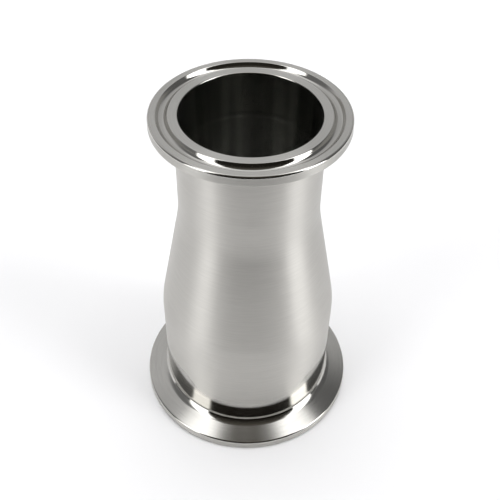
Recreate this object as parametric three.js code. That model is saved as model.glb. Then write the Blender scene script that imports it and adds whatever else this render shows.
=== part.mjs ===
// Sanitary clamp-end reducer, 2 inch by 1 1/2 inch, in millimetres.
//
// The origin is the centre of the large end's sealing face. +Z runs along the passage to the small end.
// A clamp ferrule is butt-welded to each end of a formed tube that narrows about its own axis.
// Every piece is a ring about Z, made by turning an outline of (radius, height) corners.

import * as THREE from 'three';

// Overall
const OVERALL_LENGTH = 100;
const WALL = 1.2;

// Ends: the flange's and the tube's outside diameters, and the gasket groove's mean diameter
const LARGE_END = { flange: 64, tube: 50.8, groove: 56.5 };
const SMALL_END = { flange: 50.5, tube: 38.1, groove: 43.5 };

// Ferrules
const FERRULE_LENGTH = 12.7; // from the sealing face to the middle of the weld
const RIM_THICKNESS = 2.85;
const BACK_SLOPE = THREE.MathUtils.degToRad(20); // the clamp pulls on this slope
const SHOULDER_SLOPE = THREE.MathUtils.degToRad(52); // short cone between the neck and the back slope
const SHOULDER_LENGTH = 1.5; // along the cone, to where its corners would be
const SHOULDER_FILLET = 3; // where it runs out into the back slope
const NECK_FILLET = 0.5; // where it meets the neck
const RIM_ROUNDING = 0.65;
const BORE_ROUNDING = 0.3;
const GROOVE_WIDTH = 2.9;
const GROOVE_DEPTH = 1.3;
const GROOVE_SIDE = THREE.MathUtils.degToRad(60); // slope of the groove's sides
const GROOVE_EDGE_ROUNDING = 0.25;

// Welds
const WELD_WIDTH = 2;
const ROOT_BEAD = 0.04; // how far the weld's root stands into the bore

// Reducing tube
const CONE_HALF_ANGLE = THREE.MathUtils.degToRad(10.6);
const CONE_MIDDLE_HEIGHT = 53;
const LARGE_BLEND = 30; // outside radius where the large tube turns into the cone
const SMALL_BLEND = 40; // outside radius where the cone turns into the small tube

// Facets
const SEGMENTS = 64;
const STEP_ANGLE = THREE.MathUtils.degToRad(30);
const FEWEST_STEPS = 3;

// Finishes
const POLISHED_STEEL = { color: 0xc9c8c5, roughness: 0.12, metalness: 1 };
const SATIN_STEEL = { color: 0xb4b2ae, roughness: 0.38, metalness: 1 };
const GROUND_WELD = { color: 0xb0aeaa, roughness: 0.32, metalness: 1 };

/** One corner of an outline, with the radius that rounds it. */
function corner(radius, height, rounding = 0) {
  return { point: new THREE.Vector2(radius, height), rounding };
}

/** The arc that rounds the corner between its neighbours, as points. A sharp corner is one point. */
function roundedCorner(before, here, after) {
  if (here.rounding === 0) {
    return [here.point];
  }
  const towardsBefore = before.point.clone().sub(here.point).normalize();
  const towardsAfter = after.point.clone().sub(here.point).normalize();
  const halfOpening = Math.acos(towardsBefore.dot(towardsAfter)) / 2;
  const turn = Math.PI - 2 * halfOpening;
  const bisector = towardsBefore.clone().add(towardsAfter).normalize();
  const centre = here.point.clone().addScaledVector(bisector, here.rounding / Math.sin(halfOpening));
  const start = here.point.clone().addScaledVector(towardsBefore, here.rounding / Math.tan(halfOpening));
  const direction = Math.sign(towardsAfter.cross(towardsBefore));
  const steps = Math.max(FEWEST_STEPS, Math.round(turn / STEP_ANGLE));
  const points = [];
  for (let i = 0; i <= steps; i += 1) {
    points.push(start.clone().rotateAround(centre, (direction * turn * i) / steps));
  }
  return points;
}

/** A ring about Z whose section is the closed outline. The corners run anticlockwise. */
function ring(corners) {
  const count = corners.length;
  const outline = corners.flatMap((here, i) =>
    roundedCorner(corners[(i + count - 1) % count], here, corners[(i + 1) % count]),
  );
  outline.push(outline[0].clone());
  const geometry = new THREE.LatheGeometry(outline, SEGMENTS);
  geometry.rotateX(Math.PI / 2);
  return geometry;
}

/** A named piece of the fitting. */
function piece(name, geometry, finish) {
  const mesh = new THREE.Mesh(geometry, new THREE.MeshStandardMaterial(finish));
  mesh.name = name;
  return mesh;
}

/** A clamp ferrule with its sealing face at z = 0, facing down, and its neck going up. */
function ferruleGeometry(end) {
  const flangeRadius = end.flange / 2;
  const tubeRadius = end.tube / 2;
  const boreRadius = tubeRadius - WALL;
  const grooveRadius = end.groove / 2;
  const halfGroove = GROOVE_WIDTH / 2;
  const shoulderRadius = tubeRadius + SHOULDER_LENGTH * Math.cos(SHOULDER_SLOPE);
  const shoulderBottom = RIM_THICKNESS + (flangeRadius - shoulderRadius) * Math.tan(BACK_SLOPE);
  const shoulderTop = shoulderBottom + SHOULDER_LENGTH * Math.sin(SHOULDER_SLOPE);
  const neckTop = FERRULE_LENGTH - WELD_WIDTH / 2;
  // The groove's sides would meet here. Its round bottom stops at GROOVE_DEPTH.
  const sidesMeet = halfGroove * Math.tan(GROOVE_SIDE);
  const bottomRadius = (sidesMeet - GROOVE_DEPTH) / (1 / Math.cos(GROOVE_SIDE) - 1);
  return ring([
    corner(boreRadius, 0, BORE_ROUNDING),
    corner(grooveRadius - halfGroove, 0, GROOVE_EDGE_ROUNDING),
    corner(grooveRadius, sidesMeet, bottomRadius),
    corner(grooveRadius + halfGroove, 0, GROOVE_EDGE_ROUNDING),
    corner(flangeRadius, 0, RIM_ROUNDING),
    corner(flangeRadius, RIM_THICKNESS, RIM_ROUNDING),
    corner(shoulderRadius, shoulderBottom, SHOULDER_FILLET),
    corner(tubeRadius, shoulderTop, NECK_FILLET),
    corner(tubeRadius, neckTop),
    corner(boreRadius, neckTop),
  ]);
}

/** A butt weld that is flush outside, with its root standing a little into the bore. */
function weldGeometry(end, middleHeight) {
  const tubeRadius = end.tube / 2;
  const boreRadius = tubeRadius - WALL;
  const bottom = middleHeight - WELD_WIDTH / 2;
  const top = middleHeight + WELD_WIDTH / 2;
  // The arc through both edges of the bore that stands ROOT_BEAD into it
  const beadRadius = (WELD_WIDTH ** 2 / 4 + ROOT_BEAD ** 2) / (2 * ROOT_BEAD);
  const halfTurn = Math.asin(WELD_WIDTH / 2 / beadRadius);
  const tangentsMeet = boreRadius - (WELD_WIDTH / 2) * Math.tan(halfTurn);
  return ring([
    corner(boreRadius, bottom),
    corner(tubeRadius, bottom),
    corner(tubeRadius, top),
    corner(boreRadius, top),
    corner(tangentsMeet, middleHeight, beadRadius),
  ]);
}

/** The formed tube between the welds: a straight length, a cone and a straight length. */
function bodyGeometry() {
  const largeRadius = LARGE_END.tube / 2;
  const smallRadius = SMALL_END.tube / 2;
  const bottom = FERRULE_LENGTH + WELD_WIDTH / 2;
  const top = OVERALL_LENGTH - bottom;
  const halfCone = (largeRadius - smallRadius) / 2 / Math.tan(CONE_HALF_ANGLE);
  const coneStart = CONE_MIDDLE_HEIGHT - halfCone;
  const coneEnd = CONE_MIDDLE_HEIGHT + halfCone;
  // The inside corners lie a little lower, so that the wall has one thickness all along
  const drop = WALL * Math.tan(CONE_HALF_ANGLE / 2);
  return ring([
    corner(largeRadius - WALL, bottom),
    corner(largeRadius, bottom),
    corner(largeRadius, coneStart, LARGE_BLEND),
    corner(smallRadius, coneEnd, SMALL_BLEND),
    corner(smallRadius, top),
    corner(smallRadius - WALL, top),
    corner(smallRadius - WALL, coneEnd - drop, SMALL_BLEND + WALL),
    corner(largeRadius - WALL, coneStart - drop, LARGE_BLEND - WALL),
  ]);
}

/** The whole fitting, from the large end up. */
function reducer() {
  const group = new THREE.Group();

  group.add(piece('large_ferrule', ferruleGeometry(LARGE_END), POLISHED_STEEL));
  group.add(piece('large_end_weld', weldGeometry(LARGE_END, FERRULE_LENGTH), GROUND_WELD));
  group.add(piece('reducer_body', bodyGeometry(), SATIN_STEEL));
  group.add(
    piece('small_end_weld', weldGeometry(SMALL_END, OVERALL_LENGTH - FERRULE_LENGTH), GROUND_WELD),
  );

  // The small ferrule is turned over, so that its sealing face looks up
  const smallFerrule = piece('small_ferrule', ferruleGeometry(SMALL_END), POLISHED_STEEL);
  smallFerrule.rotation.x = Math.PI;
  smallFerrule.position.z = OVERALL_LENGTH;
  group.add(smallFerrule);

  return group;
}

export default reducer();
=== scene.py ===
"""Looks for the sanitary clamp-end reducer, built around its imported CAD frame. Everything is in metres.

The five rings of the fitting are turned again here from finer outlines, with exact normals and a finish for
each stretch of the outline. Sizes come from the CAD nodes' boxes. The details that a box doesn't show are
named below.
"""

import math

import bpy
import numpy as np
from mathutils import Matrix, Vector


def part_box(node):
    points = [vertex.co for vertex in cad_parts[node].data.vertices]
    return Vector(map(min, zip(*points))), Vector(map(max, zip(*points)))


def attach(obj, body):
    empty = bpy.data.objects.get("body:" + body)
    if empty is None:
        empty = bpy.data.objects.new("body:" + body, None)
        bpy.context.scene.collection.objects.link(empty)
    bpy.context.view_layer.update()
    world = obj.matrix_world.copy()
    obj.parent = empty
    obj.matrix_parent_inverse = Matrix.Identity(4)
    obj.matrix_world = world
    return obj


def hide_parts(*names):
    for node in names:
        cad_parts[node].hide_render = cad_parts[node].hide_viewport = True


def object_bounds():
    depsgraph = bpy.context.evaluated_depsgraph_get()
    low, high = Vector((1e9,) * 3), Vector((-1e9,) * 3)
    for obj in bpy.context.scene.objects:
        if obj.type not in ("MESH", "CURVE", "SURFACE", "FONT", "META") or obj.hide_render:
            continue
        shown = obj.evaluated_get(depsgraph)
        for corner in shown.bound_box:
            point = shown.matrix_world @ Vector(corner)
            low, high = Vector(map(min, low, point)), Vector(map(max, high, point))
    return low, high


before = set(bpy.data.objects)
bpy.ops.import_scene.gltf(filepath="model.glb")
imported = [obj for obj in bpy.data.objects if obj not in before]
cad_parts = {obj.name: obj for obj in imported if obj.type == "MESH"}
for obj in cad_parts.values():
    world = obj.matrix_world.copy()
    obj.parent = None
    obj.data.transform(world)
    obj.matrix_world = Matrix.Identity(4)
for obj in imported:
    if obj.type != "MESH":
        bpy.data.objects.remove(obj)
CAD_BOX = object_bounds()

MM = 0.001

# Details of the ferrules, welds and reducing tube that the nodes' boxes don't show
RIM_THICKNESS = 2.85 * MM
BACK_SLOPE = math.radians(20)
SHOULDER_SLOPE = math.radians(52)
SHOULDER_LENGTH = 1.5 * MM
SHOULDER_FILLET = 3 * MM
NECK_FILLET = 0.2 * MM  # tighter than the CAD node's, so that it glints as a thin line
RIM_ROUNDING = 0.65 * MM
BORE_ROUNDING = 0.3 * MM
GROOVE_WIDTH = 2.9 * MM
GROOVE_DEPTH = 1.3 * MM
GROOVE_SIDE = math.radians(60)
GROOVE_EDGE_ROUNDING = 0.25 * MM
GROOVE_INSET = {"large_ferrule": 3.75 * MM, "small_ferrule": 3.5 * MM}
WALL = 1.2 * MM
CONE_HALF_ANGLE = math.radians(10.6)
CONE_MIDDLE_HEIGHT = 53 * MM
LARGE_BLEND = 30 * MM
SMALL_BLEND = 40 * MM
ROOT_BEAD = 0.04 * MM

# Fineness of the turned meshes
SEGMENTS = 256
ARC_STEP = math.radians(6)
FEWEST_ARC_STEPS = 6
SAME_POINT = 1e-7  # points nearer than this are one point
UV_HEIGHT = 100 * MM  # length of outline that one unit of v covers

# Colours of the steel
STEEL = (0.55, 0.54, 0.512)
SATIN_STEEL = (0.61, 0.597, 0.566)
LAND_STEEL = (0.62, 0.61, 0.58)
BORE_STEEL = (0.62, 0.62, 0.58)

# Marks in the steel. Noise scales are per metre. Colour goes from the darkest share of itself to the whole
# of itself as the noise goes from "from" to "to".
DRAWN_OUT = 0.035  # how fast the marks change along themselves, as a share of across
COARSE_MARKS = 0.22  # scale of the coarse marks, as a share of the fine marks'
MARK_SHADE = {"darkest": 0.94, "from": 0.35, "to": 0.7}
STREAK_SHADE = {"darkest": 0.5, "from": 0.38, "to": 0.6, "scale": 110.0}
PATCHES = {"scale": 60.0, "squeeze": 1.6, "mottle": 0.1}
DENTS_SCALE = 55.0
QUARTER_TURN = 0.25

# The satin is polished away low on the part, up to a border that dips in front. The dip is given as y over
# radius, at its lowest and where it has risen. fade is half the border's width.
POLISH_DIP = (-0.915, -0.66)
POLISH_FRONT = {"height": 13.4 * MM, "fade": 1.5 * MM}
POLISH_ELSEWHERE = {"height": 18.5 * MM, "fade": 3.5 * MM}
POLISHED_ROUGHNESS = 0.09

# Camera, close above the small end. Lens and sensor are in millimetres, the elevation and the trim, which
# turns the camera about its own axes, in radians.
CAMERA = {"distance": 0.22267, "elevation": 0.783, "lens": 55.6, "sensor": 36, "clip_start": 0.005}
CAMERA_TRIM = {"X": 0.010, "Y": -0.002, "Z": 0.016}

# Stage and overhead light. The dark sheet on the ground in front is painted shade; its azimuth is in degrees,
# as the room's is.
FLOOR = {"half_size": 3.0, "colour": (0.86, 0.86, 0.87, 1), "specular": 0.1}
# Painted shade: a dark sheet over the floor in front, seen only in the steel's reflections
PAINTED_SHADE_GROUND = {"azimuth": (-50, 53), "near": 0.24, "far": 2.0, "lift": 0.0005}
PAINTED_SHADE_GROUND_COLOUR = (0.02, 0.02, 0.018, 1)
MATT_ROUGHNESS = 0.9
OVERHEAD = {"width": math.radians(53), "lean": math.radians(-5.7), "strength": 1.55}
BACKDROP = (0.97, 0.97, 0.99, 1)

# The room. Azimuth is 0 in front of the part and grows towards +X, elevation is 90 overhead, both in
# degrees. A pair of angles is where one level gives way to the next.
BLACK = (0, 0, 0, 1)
ROOM_WHITE = (1.0, 1.0, 1.01, 1)
BESIDE = {"left": 0.2, "right": 0.14}
BEHIND = {"left": 0.66, "right": 0.54}
STRAIGHT_BACK = 0.58
HIGH_GLOW = 1.45
ZENITH = 0.85
LEFT_TO_RIGHT = (-0.3, 0.3)  # x of the direction, not an angle
TO_BEHIND = (94, 122)
BEHIND_LATER_ON_RIGHT = 24
TO_STRAIGHT_BACK = (150, 170)
TO_HIGH_GLOW = (55, 67)
GLOW_LOWER_BEHIND = 6
TO_ZENITH = (76, 86)

# The dark wedge in front, and the softboxes. soft and fade are half and whole widths of an edge.
DARK_FRONT = {"azimuth": (-56, 60), "soft": 3, "top": 88, "fade": 4}
DARK_LOW = (0.016, 0.014, 0.011, 1)
DARK_HIGH = (0.10, 0.092, 0.078, 1)
TO_DARK_HIGH = (15, 75)
PANELS = (
    {"azimuth": (-68.5, -44.5), "elevation": (-10, 58), "soft": 2, "radiance": 2.8},
    {"azimuth": (57, 81.5), "elevation": (-10, 56), "soft": 2, "radiance": 3.7},
    {"azimuth": (-94, -58), "elevation": (57, 75), "soft": 3, "radiance": 2.4},
    {"azimuth": (66, 98), "elevation": (56, 74), "soft": 3, "radiance": 2.4},
    {"azimuth": (-76, -50), "elevation": (79, 95), "soft": 3, "radiance": 0.6},
    {"azimuth": (50, 78), "elevation": (78, 95), "soft": 3, "radiance": 0.35},
)


# ---------------------------------------------------------------- node helpers

def new_material(name):
    material = bpy.data.materials.new(name)
    material.use_nodes = True
    material.node_tree.nodes.clear()
    return material


class Tree:
    """Short calls for building a node tree."""

    def __init__(self, tree):
        self.tree = tree

    def node(self, kind, **settings):
        made = self.tree.nodes.new(kind)
        for key, value in settings.items():
            setattr(made, key, value)
        return made

    def feed(self, socket, value):
        """Links a socket into another, or sets a plain value on it."""
        if isinstance(value, bpy.types.NodeSocket):
            self.tree.links.new(value, socket)
        else:
            socket.default_value = value

    def math(self, operation, a, b=0.0, c=0.0):
        made = self.node("ShaderNodeMath", operation=operation)
        for socket, value in zip(made.inputs, (a, b, c)):
            self.feed(socket, value)
        return made.outputs[0]

    def ramp(self, value, low, high, out_low=0.0, out_high=1.0):
        """A smooth step from out_low at low to out_high at high."""
        made = self.node("ShaderNodeMapRange", interpolation_type="SMOOTHSTEP")
        for name, given in (("Value", value), ("From Min", low), ("From Max", high),
                            ("To Min", out_low), ("To Max", out_high)):
            self.feed(made.inputs[name], given)
        return made.outputs["Result"]

    def angle_ramp(self, value, degrees, out_low=0.0, out_high=1.0):
        """The same for an angle, with the pair of limits in degrees."""
        low, high = (math.radians(d) for d in degrees)
        return self.ramp(value, low, high, out_low, out_high)

    def blend(self, factor, a, b):
        """The number a where the factor is 0, and b where it is 1."""
        return self.math("MULTIPLY_ADD", factor, self.math("SUBTRACT", b, a), a)

    def xyz(self, vector):
        made = self.node("ShaderNodeSeparateXYZ")
        self.feed(made.inputs[0], vector)
        return made.outputs

    def vector(self, x, y, z):
        made = self.node("ShaderNodeCombineXYZ")
        for socket, value in zip(made.inputs, (x, y, z)):
            self.feed(socket, value)
        return made.outputs[0]

    def noise(self, vector, scale, detail, roughness=0.5):
        made = self.node("ShaderNodeTexNoise")
        self.feed(made.inputs["Vector"], vector)
        made.inputs["Scale"].default_value = scale
        made.inputs["Detail"].default_value = detail
        made.inputs["Roughness"].default_value = roughness
        return made.outputs["Fac"]

    def mix(self, factor, a, b):
        """The colour a where the factor is 0, and b where it is 1."""
        made = self.node("ShaderNodeMix", data_type="RGBA")
        # The node's sockets for numbers and vectors come before these, which are for colours
        factor_in, a_in, b_in, result = made.inputs["Factor"], made.inputs[6], made.inputs[7], made.outputs[2]
        for socket, value in ((factor_in, factor), (a_in, a), (b_in, b)):
            self.feed(socket, value)
        return result


# ---------------------------------------------------------------- materials

def turned_steel(name, colour, roughness, anisotropy, marks_per_mm, mark_depth, waviness=0.0, buffed=False,
                 lengthwise=False):
    """Steel with fine marks that run round the part's axis, or along it if lengthwise.

    The marks are noise along the outline, which is height on a tube and radius on a flat face, drawn out
    a long way round the axis. Roughness spreads across the marks, as it does on turned or brushed metal.
    With buffed, the marks are polished away low down, up to a border that dips in front (-Y)."""
    material = new_material(name)
    t = Tree(material.node_tree)
    x, y, z = t.xyz(t.node("ShaderNodeTexCoord").outputs["Object"])
    radius = t.math("SQRT", t.math("ADD", t.math("MULTIPLY", x, x), t.math("MULTIPLY", y, y)))
    if lengthwise:
        marks_at = t.vector(x, y, t.math("MULTIPLY", z, DRAWN_OUT))
    else:
        around = [t.math("MULTIPLY", axis, DRAWN_OUT) for axis in (x, y)]
        marks_at = t.vector(*around, t.math("ADD", radius, z))
    fine = t.noise(marks_at, marks_per_mm / MM, detail=3.0, roughness=0.6)
    coarse = t.noise(marks_at, COARSE_MARKS * marks_per_mm / MM, detail=1.0)

    left_rough = 1.0
    if buffed:
        risen = t.ramp(t.math("DIVIDE", y, radius), *POLISH_DIP)
        border = t.blend(risen, POLISH_FRONT["height"], POLISH_ELSEWHERE["height"])
        fade = t.blend(risen, POLISH_FRONT["fade"], POLISH_ELSEWHERE["fade"])
        left_rough = t.ramp(z, t.math("SUBTRACT", border, fade), t.math("ADD", border, fade))

    bump = t.node("ShaderNodeBump")
    t.feed(bump.inputs["Strength"], left_rough)
    bump.inputs["Distance"].default_value = mark_depth
    t.feed(bump.inputs["Height"], t.math("ADD", fine, coarse))
    normal = bump.outputs[0]
    if waviness:
        dents = t.node("ShaderNodeBump")
        dents.inputs["Strength"].default_value = 1.0
        dents.inputs["Distance"].default_value = waviness
        t.feed(dents.inputs["Height"], t.noise(t.vector(x, y, z), DENTS_SCALE, detail=1.0))
        t.feed(dents.inputs["Normal"], normal)
        normal = dents.outputs[0]

    if lengthwise:
        tone, shade = t.noise(marks_at, STREAK_SHADE["scale"], detail=2.0), STREAK_SHADE
    else:
        tone, shade = fine, MARK_SHADE
    darkest = [shade["darkest"] * c for c in colour]
    tinted = t.mix(t.ramp(tone, shade["from"], shade["to"]), (*darkest, 1), (*colour, 1))

    patches_at = t.vector(x, y, t.math("MULTIPLY", z, PATCHES["squeeze"]))
    patches = t.noise(patches_at, PATCHES["scale"], detail=2.0)
    mottle = PATCHES["mottle"]
    spread = t.math("ADD", t.math("MULTIPLY", patches, mottle), t.math("MULTIPLY", coarse, mottle))
    rough = t.math("MULTIPLY", t.math("ADD", spread, 1.0 - mottle), roughness)
    if buffed:
        rough = t.blend(left_rough, POLISHED_ROUGHNESS, rough)

    shader = t.node("ShaderNodeBsdfPrincipled")
    shader.inputs["Metallic"].default_value = 1.0
    shader.inputs["Anisotropic"].default_value = anisotropy
    shader.inputs["Anisotropic Rotation"].default_value = 0.0 if lengthwise else QUARTER_TURN
    t.feed(shader.inputs["Base Color"], tinted)
    t.feed(shader.inputs["Roughness"], rough)
    t.feed(shader.inputs["Normal"], normal)
    around_axis = t.node("ShaderNodeTangent", direction_type="RADIAL", axis="Z")
    t.feed(shader.inputs["Tangent"], around_axis.outputs[0])
    t.feed(t.node("ShaderNodeOutputMaterial").inputs["Surface"], shader.outputs[0])
    return material


def matt_material(name, colour, specular):
    """One plain colour all over."""
    material = new_material(name)
    t = Tree(material.node_tree)
    shader = t.node("ShaderNodeBsdfPrincipled")
    shader.inputs["Base Color"].default_value = colour
    shader.inputs["Roughness"].default_value = MATT_ROUGHNESS
    shader.inputs["Specular IOR Level"].default_value = specular
    t.feed(t.node("ShaderNodeOutputMaterial").inputs["Surface"], shader.outputs[0])
    return material


FINISHES = {
    "satin": turned_steel("satin_steel", SATIN_STEEL, 0.42, 0.833, 4.0, 0.0018 * MM, waviness=0.012 * MM,
                          buffed=True),
    "weld": turned_steel("ground_weld_steel", SATIN_STEEL, 0.42, 0.833, 4.0, 0.0018 * MM, buffed=True),
    "mirror": turned_steel("mirror_steel", STEEL, 0.06, 0.5, 3.0, 0.0002 * MM),
    "turned": turned_steel("turned_steel", LAND_STEEL, 0.32, 0.85, 4.5, 0.0015 * MM),
    "rim": turned_steel("turned_rim_steel", STEEL, 0.42, 0.833, 4.5, 0.0015 * MM),
    "slope": turned_steel("turned_slope_steel", STEEL, 0.16, 0.7, 3.5, 0.0008 * MM),
    "groove": turned_steel("groove_steel", STEEL, 0.10, 0.6, 3.0, 0.0004 * MM),
    "bore": turned_steel("bore_steel", BORE_STEEL, 0.24, 0.6, 2.0, 0.0015 * MM, lengthwise=True),
}


# ---------------------------------------------------------------- turned rings

def corner(radius, height, rounding=0.0, *, after, edge=None):
    """A corner of an outline.

    after is the finish from here to the next corner, edge that of the rounding."""
    return {"at": np.array([radius, height]), "rounding": rounding, "after": after, "edge": edge or after}


def unit(v):
    return v / np.linalg.norm(v)


def rounded(before, here, following):
    """The points of a corner and the outward normals at them.

    A sharp corner is one point without a normal."""
    if not here["rounding"]:
        return [here["at"]], []
    back = unit(before["at"] - here["at"])
    ahead = unit(following["at"] - here["at"])
    half_opening = math.acos(float(np.clip(back @ ahead, -1, 1))) / 2
    turn = math.pi - 2 * half_opening
    centre = here["at"] + unit(back + ahead) * here["rounding"] / math.sin(half_opening)
    start = here["at"] + back * here["rounding"] / math.tan(half_opening)
    way = 1 if ahead[0] * back[1] - ahead[1] * back[0] > 0 else -1
    steps = max(FEWEST_ARC_STEPS, round(turn / ARC_STEP))
    points, normals = [], []
    for k in range(steps + 1):
        a = way * turn * k / steps
        spin = np.array([[math.cos(a), -math.sin(a)], [math.sin(a), math.cos(a)]])
        points.append(centre + spin @ (start - centre))
        normals.append(unit(points[-1] - centre) * way)
    return points, normals


def stretches(corners):
    """The outline as short stretches: start, end, the normals at both, and the finish.

    The corners run anticlockwise round the metal, so the outward normal is on the right of the way along."""
    count = len(corners)
    arcs = [rounded(corners[i - 1], here, corners[(i + 1) % count]) for i, here in enumerate(corners)]
    made = []
    for i, here in enumerate(corners):
        points, normals = arcs[i]
        for k in range(len(points) - 1):
            made.append((points[k], points[k + 1], normals[k], normals[k + 1], here["edge"]))
        start, end = points[-1], arcs[(i + 1) % count][0][0]
        if np.linalg.norm(end - start) > SAME_POINT:
            along = unit(end - start)
            normal = np.array([along[1], -along[0]])
            made.append((start, end, normal, normal, here["after"]))
    return made


def turned_ring(name, corners, flip_about=None):
    """A closed ring about Z from an outline, with exact normals.

    flip_about turns it over about that height."""
    outline = stretches(corners)
    if flip_about is not None:
        mirror = np.array([1.0, -1.0])
        lift = np.array([0.0, 2 * flip_about])
        outline = [(b * mirror + lift, a * mirror + lift, nb * mirror, na * mirror, finish)
                   for a, b, na, nb, finish in reversed(outline)]
    rows = len(outline)
    angles = np.arange(SEGMENTS) * 2 * math.pi / SEGMENTS
    around = np.stack([np.cos(angles), np.sin(angles)], 1)
    starts = np.array([stretch[0] for stretch in outline])
    vertices = np.concatenate([
        starts[:, None, :1] * around[None],
        np.repeat(starts[:, None, 1:], SEGMENTS, axis=1),
    ], axis=2).reshape(-1, 3)

    finishes = sorted({stretch[4] for stretch in outline})
    faces, normals, uvs, slots = [], [], [], []
    length = 0.0
    for row, (start, end, normal_start, normal_end, finish) in enumerate(outline):
        step = float(np.linalg.norm(end - start))
        low, high = row * SEGMENTS, ((row + 1) % rows) * SEGMENTS
        v0, v1 = length / UV_HEIGHT, (length + step) / UV_HEIGHT
        for i in range(SEGMENTS):
            j = (i + 1) % SEGMENTS
            faces.append((low + i, low + j, high + j, high + i))
            for column, normal in ((i, normal_start), (j, normal_start), (j, normal_end), (i, normal_end)):
                normals.append((*(normal[0] * around[column]), normal[1]))
            u0, u1 = i / SEGMENTS, (i + 1) / SEGMENTS
            uvs += [(u0, v0), (u1, v0), (u1, v1), (u0, v1)]
            slots.append(finishes.index(finish))
        length += step

    mesh = bpy.data.meshes.new(name)
    mesh.from_pydata(vertices.tolist(), [], faces)
    mesh.polygons.foreach_set("use_smooth", [True] * len(faces))
    mesh.polygons.foreach_set("material_index", slots)
    mesh.uv_layers.new(name="around").data.foreach_set("uv", np.array(uvs).ravel())
    for finish in finishes:
        mesh.materials.append(FINISHES[finish])
    mesh.normals_split_custom_set(normals)
    mesh.update()
    ring = bpy.data.objects.new(name, mesh)
    bpy.context.scene.collection.objects.link(ring)
    return ring


# ---------------------------------------------------------------- pieces

def ferrule_corners(node, tube_radius, neck, back_edge):
    """The ferrule's outline with its sealing face at height 0, facing down, and its neck going up.

    neck is the finish of the neck and its shoulder, back_edge that of the rim's edge next to the back
    slope."""
    low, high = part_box(node)
    length = high.z - low.z
    flange_radius = high.x
    bore_radius = tube_radius - WALL
    groove_radius = flange_radius - GROOVE_INSET[node]
    half_groove = GROOVE_WIDTH / 2
    # The groove's sides would meet here. Its round bottom stops at GROOVE_DEPTH.
    sides_meet = half_groove * math.tan(GROOVE_SIDE)
    bottom_radius = (sides_meet - GROOVE_DEPTH) / (1 / math.cos(GROOVE_SIDE) - 1)
    shoulder_radius = tube_radius + SHOULDER_LENGTH * math.cos(SHOULDER_SLOPE)
    shoulder_bottom = RIM_THICKNESS + (flange_radius - shoulder_radius) * math.tan(BACK_SLOPE)
    shoulder_top = shoulder_bottom + SHOULDER_LENGTH * math.sin(SHOULDER_SLOPE)
    return [
        corner(bore_radius, 0, BORE_ROUNDING, after="turned", edge="groove"),
        corner(groove_radius - half_groove, 0, GROOVE_EDGE_ROUNDING, after="groove"),
        corner(groove_radius, sides_meet, bottom_radius, after="groove"),
        corner(groove_radius + half_groove, 0, GROOVE_EDGE_ROUNDING, after="turned", edge="groove"),
        corner(flange_radius, 0, RIM_ROUNDING, after="rim", edge="groove"),
        corner(flange_radius, RIM_THICKNESS, RIM_ROUNDING, after="slope", edge=back_edge),
        corner(shoulder_radius, shoulder_bottom, SHOULDER_FILLET, after=neck, edge="slope"),
        corner(tube_radius, shoulder_top, NECK_FILLET, after=neck),
        corner(tube_radius, length, after="bore"),
        corner(bore_radius, length, after="bore"),
    ]


def weld_corners(node, tube_radius):
    """A weld that is flush outside, with its root standing a little into the bore."""
    low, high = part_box(node)
    bore_radius = tube_radius - WALL
    width = high.z - low.z
    # The arc through both edges of the bore that stands ROOT_BEAD into it
    bead_radius = (width ** 2 / 4 + ROOT_BEAD ** 2) / (2 * ROOT_BEAD)
    half_turn = math.asin(width / 2 / bead_radius)
    tangents_meet = bore_radius - width / 2 * math.tan(half_turn)
    return [
        corner(bore_radius, low.z, after="weld"),
        corner(tube_radius, low.z, after="weld"),
        corner(tube_radius, high.z, after="weld"),
        corner(bore_radius, high.z, after="bore"),
        corner(tangents_meet, (low.z + high.z) / 2, bead_radius, after="bore"),
    ]


def body_corners(node, large_radius, small_radius):
    """The reducing tube: a straight length, a cone and a straight length."""
    low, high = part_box(node)
    half_cone = (large_radius - small_radius) / 2 / math.tan(CONE_HALF_ANGLE)
    cone_start = CONE_MIDDLE_HEIGHT - half_cone
    cone_end = CONE_MIDDLE_HEIGHT + half_cone
    # The inside corners lie a little lower, so that the wall has one thickness all along
    drop = WALL * math.tan(CONE_HALF_ANGLE / 2)
    return [
        corner(large_radius - WALL, low.z, after="satin"),
        corner(large_radius, low.z, after="satin"),
        corner(large_radius, cone_start, LARGE_BLEND, after="satin"),
        corner(small_radius, cone_end, SMALL_BLEND, after="satin"),
        corner(small_radius, high.z, after="satin"),
        corner(small_radius - WALL, high.z, after="bore"),
        corner(small_radius - WALL, cone_end - drop, SMALL_BLEND + WALL, after="bore"),
        corner(large_radius - WALL, cone_start - drop, LARGE_BLEND - WALL, after="bore"),
    ]


def finish_piece(piece, node):
    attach(piece, "root")
    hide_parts(node)


def build_fitting():
    large_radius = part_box("large_end_weld")[1].x
    small_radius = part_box("small_end_weld")[1].x

    corners = ferrule_corners("large_ferrule", large_radius, neck="mirror", back_edge="groove")
    finish_piece(turned_ring("large_ferrule_turned", corners), "large_ferrule")

    corners = ferrule_corners("small_ferrule", small_radius, neck="satin", back_edge="rim")
    small = turned_ring("small_ferrule_turned", corners, flip_about=CAD_BOX[1].z / 2)
    finish_piece(small, "small_ferrule")

    for node, radius in (("large_end_weld", large_radius), ("small_end_weld", small_radius)):
        weld = turned_ring(node + "_ground", weld_corners(node, radius))
        finish_piece(weld, node)

    body = turned_ring("reducer_body_satin", body_corners("reducer_body", large_radius, small_radius))
    finish_piece(body, "reducer_body")


# ---------------------------------------------------------------- studio

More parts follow.
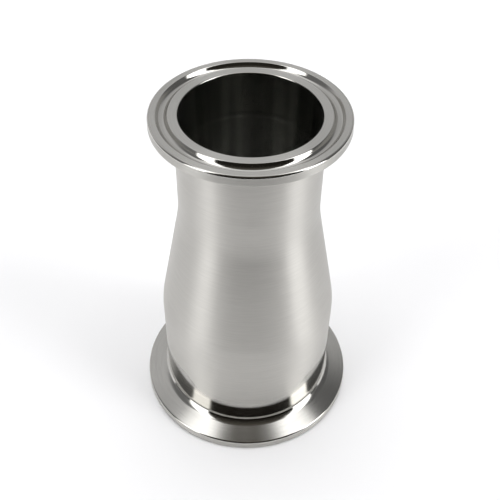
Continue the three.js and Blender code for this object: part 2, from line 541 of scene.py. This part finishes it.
def make_camera():
    """A camera close above the small end, looking down at about 45 degrees."""
    elevation = CAMERA["elevation"]
    back = Vector((0, -math.cos(elevation), math.sin(elevation)))
    right = Vector((1, 0, 0))
    up = back.cross(right)
    aim = Matrix((right, up, back)).transposed()
    for axis, angle in CAMERA_TRIM.items():
        aim = aim @ Matrix.Rotation(angle, 3, axis)
    middle = (CAD_BOX[0] + CAD_BOX[1]) / 2
    camera = bpy.data.objects.new("camera", bpy.data.cameras.new("camera"))
    camera.matrix_world = Matrix.Translation(middle + back * CAMERA["distance"]) @ aim.to_4x4()
    camera.data.sensor_width = CAMERA["sensor"]
    camera.data.lens = CAMERA["lens"]
    camera.data.clip_start = CAMERA["clip_start"]
    bpy.context.scene.collection.objects.link(camera)
    bpy.context.scene.camera = camera


def flat_sheet(name, corners, height, material):
    """A flat four-cornered sheet at a height."""
    mesh = bpy.data.meshes.new(name)
    mesh.from_pydata([(x, y, height) for x, y in corners], [], [(0, 1, 2, 3)])
    mesh.materials.append(material)
    sheet = bpy.data.objects.new(name, mesh)
    bpy.context.scene.collection.objects.link(sheet)
    return sheet


def make_floor():
    half = FLOOR["half_size"]
    corners = [(-half, -half), (half, -half), (half, half), (-half, half)]
    material = matt_material("pale_floor", FLOOR["colour"], FLOOR["specular"])
    flat_sheet("floor", corners, CAD_BOX[0].z, material)


def make_painted_shade_foreground():
    """Painted shade: a dark sheet on the ground in front of the part, standing in for the floor's shade on
    the camera's side. Only the steel's reflections show it.
    """
    near, far = PAINTED_SHADE_GROUND["near"], PAINTED_SHADE_GROUND["far"]
    left, right = (math.tan(math.radians(a)) for a in PAINTED_SHADE_GROUND["azimuth"])
    corners = [(left * near, -near), (left * far, -far), (right * far, -far), (right * near, -near)]
    # A dark colour that paints the floor's shade in front, seen only in reflections
    material = matt_material("painted_shade_ground", PAINTED_SHADE_GROUND_COLOUR, 0.0)
    ground = flat_sheet("painted_shade_foreground", corners, CAD_BOX[0].z + PAINTED_SHADE_GROUND["lift"], material)
    ground.visible_camera = False
    ground.visible_diffuse = False
    ground.visible_shadow = False


def make_overhead_light():
    """A wide soft light overhead that whitens the floor evenly. The steel doesn't mirror it."""
    light = bpy.data.lights.new("overhead", "SUN")
    light.angle = OVERHEAD["width"]
    light.energy = OVERHEAD["strength"]
    overhead = bpy.data.objects.new("overhead", light)
    overhead.rotation_euler = (OVERHEAD["lean"], 0, 0)
    overhead.visible_camera = False
    overhead.visible_glossy = False
    bpy.context.scene.collection.objects.link(overhead)


def band(t, value, limits, soft):
    """1 between the two limits, falling to 0 over the soft width at either end. All are in degrees."""
    low, high = limits
    rise = t.angle_ramp(value, (low - soft, low + soft))
    fall = t.angle_ramp(value, (high - soft, high + soft), 1.0, 0.0)
    return t.math("MULTIPLY", rise, fall)


def room_colour(t, x, azimuth, elevation):
    """The pale walls, dimmer beside the part than behind it, with a bright glow high up all round."""
    on_right = t.ramp(x, *LEFT_TO_RIGHT)
    off_front = t.math("ABSOLUTE", azimuth)
    further = t.math("MULTIPLY_ADD", on_right, math.radians(-BEHIND_LATER_ON_RIGHT), off_front)
    behind = t.angle_ramp(further, TO_BEHIND)
    beside_level = t.blend(on_right, BESIDE["left"], BESIDE["right"])
    behind_level = t.blend(on_right, BEHIND["left"], BEHIND["right"])
    walls = t.blend(behind, beside_level, behind_level)
    walls = t.blend(t.angle_ramp(off_front, TO_STRAIGHT_BACK), walls, STRAIGHT_BACK)
    raised = t.math("MULTIPLY_ADD", behind, math.radians(GLOW_LOWER_BEHIND), elevation)
    level = t.blend(t.angle_ramp(raised, TO_HIGH_GLOW), walls, HIGH_GLOW)
    level = t.blend(t.angle_ramp(elevation, TO_ZENITH), level, ZENITH)
    return t.mix(level, BLACK, ROOM_WHITE)


def make_world():
    """A pale room with softboxes at the sides, and a dark wedge in front, on the camera's side.

    The camera itself sees an even pale backdrop instead of the room."""
    world = bpy.data.worlds.new("studio")
    world.use_nodes = True
    bpy.context.scene.world = world
    world.node_tree.nodes.clear()
    t = Tree(world.node_tree)
    x, y, z = t.xyz(t.node("ShaderNodeTexCoord").outputs["Generated"])
    azimuth = t.math("ARCTAN2", x, t.math("MULTIPLY", y, -1.0))
    elevation = t.math("ARCSINE", z)

    top = DARK_FRONT["top"]
    low_enough = t.angle_ramp(elevation, (top - DARK_FRONT["fade"], top), 1.0, 0.0)
    in_front = t.math("MULTIPLY", band(t, azimuth, DARK_FRONT["azimuth"], DARK_FRONT["soft"]), low_enough)
    dark = t.mix(t.angle_ramp(elevation, TO_DARK_HIGH), DARK_LOW, DARK_HIGH)
    seen = t.mix(in_front, room_colour(t, x, azimuth, elevation), dark)
    for panel in PANELS:
        across = band(t, azimuth, panel["azimuth"], panel["soft"])
        upright = band(t, elevation, panel["elevation"], panel["soft"])
        seen = t.mix(t.math("MULTIPLY", across, upright), seen, (*[panel["radiance"]] * 3, 1))

    to_camera = t.node("ShaderNodeLightPath").outputs["Is Camera Ray"]
    background = t.node("ShaderNodeBackground")
    t.feed(background.inputs["Color"], t.mix(to_camera, seen, BACKDROP))
    background.inputs["Strength"].default_value = 1.0
    t.feed(t.node("ShaderNodeOutputWorld").inputs["Surface"], background.outputs[0])


def set_view():
    """Plain display colours, so that the pale floor stays pale."""
    scene = bpy.context.scene
    scene.view_settings.view_transform = "Standard"
    scene.view_settings.look = "None"


build_fitting()
make_camera()
make_floor()
make_painted_shade_foreground()
make_overhead_light()
make_world()
set_view()
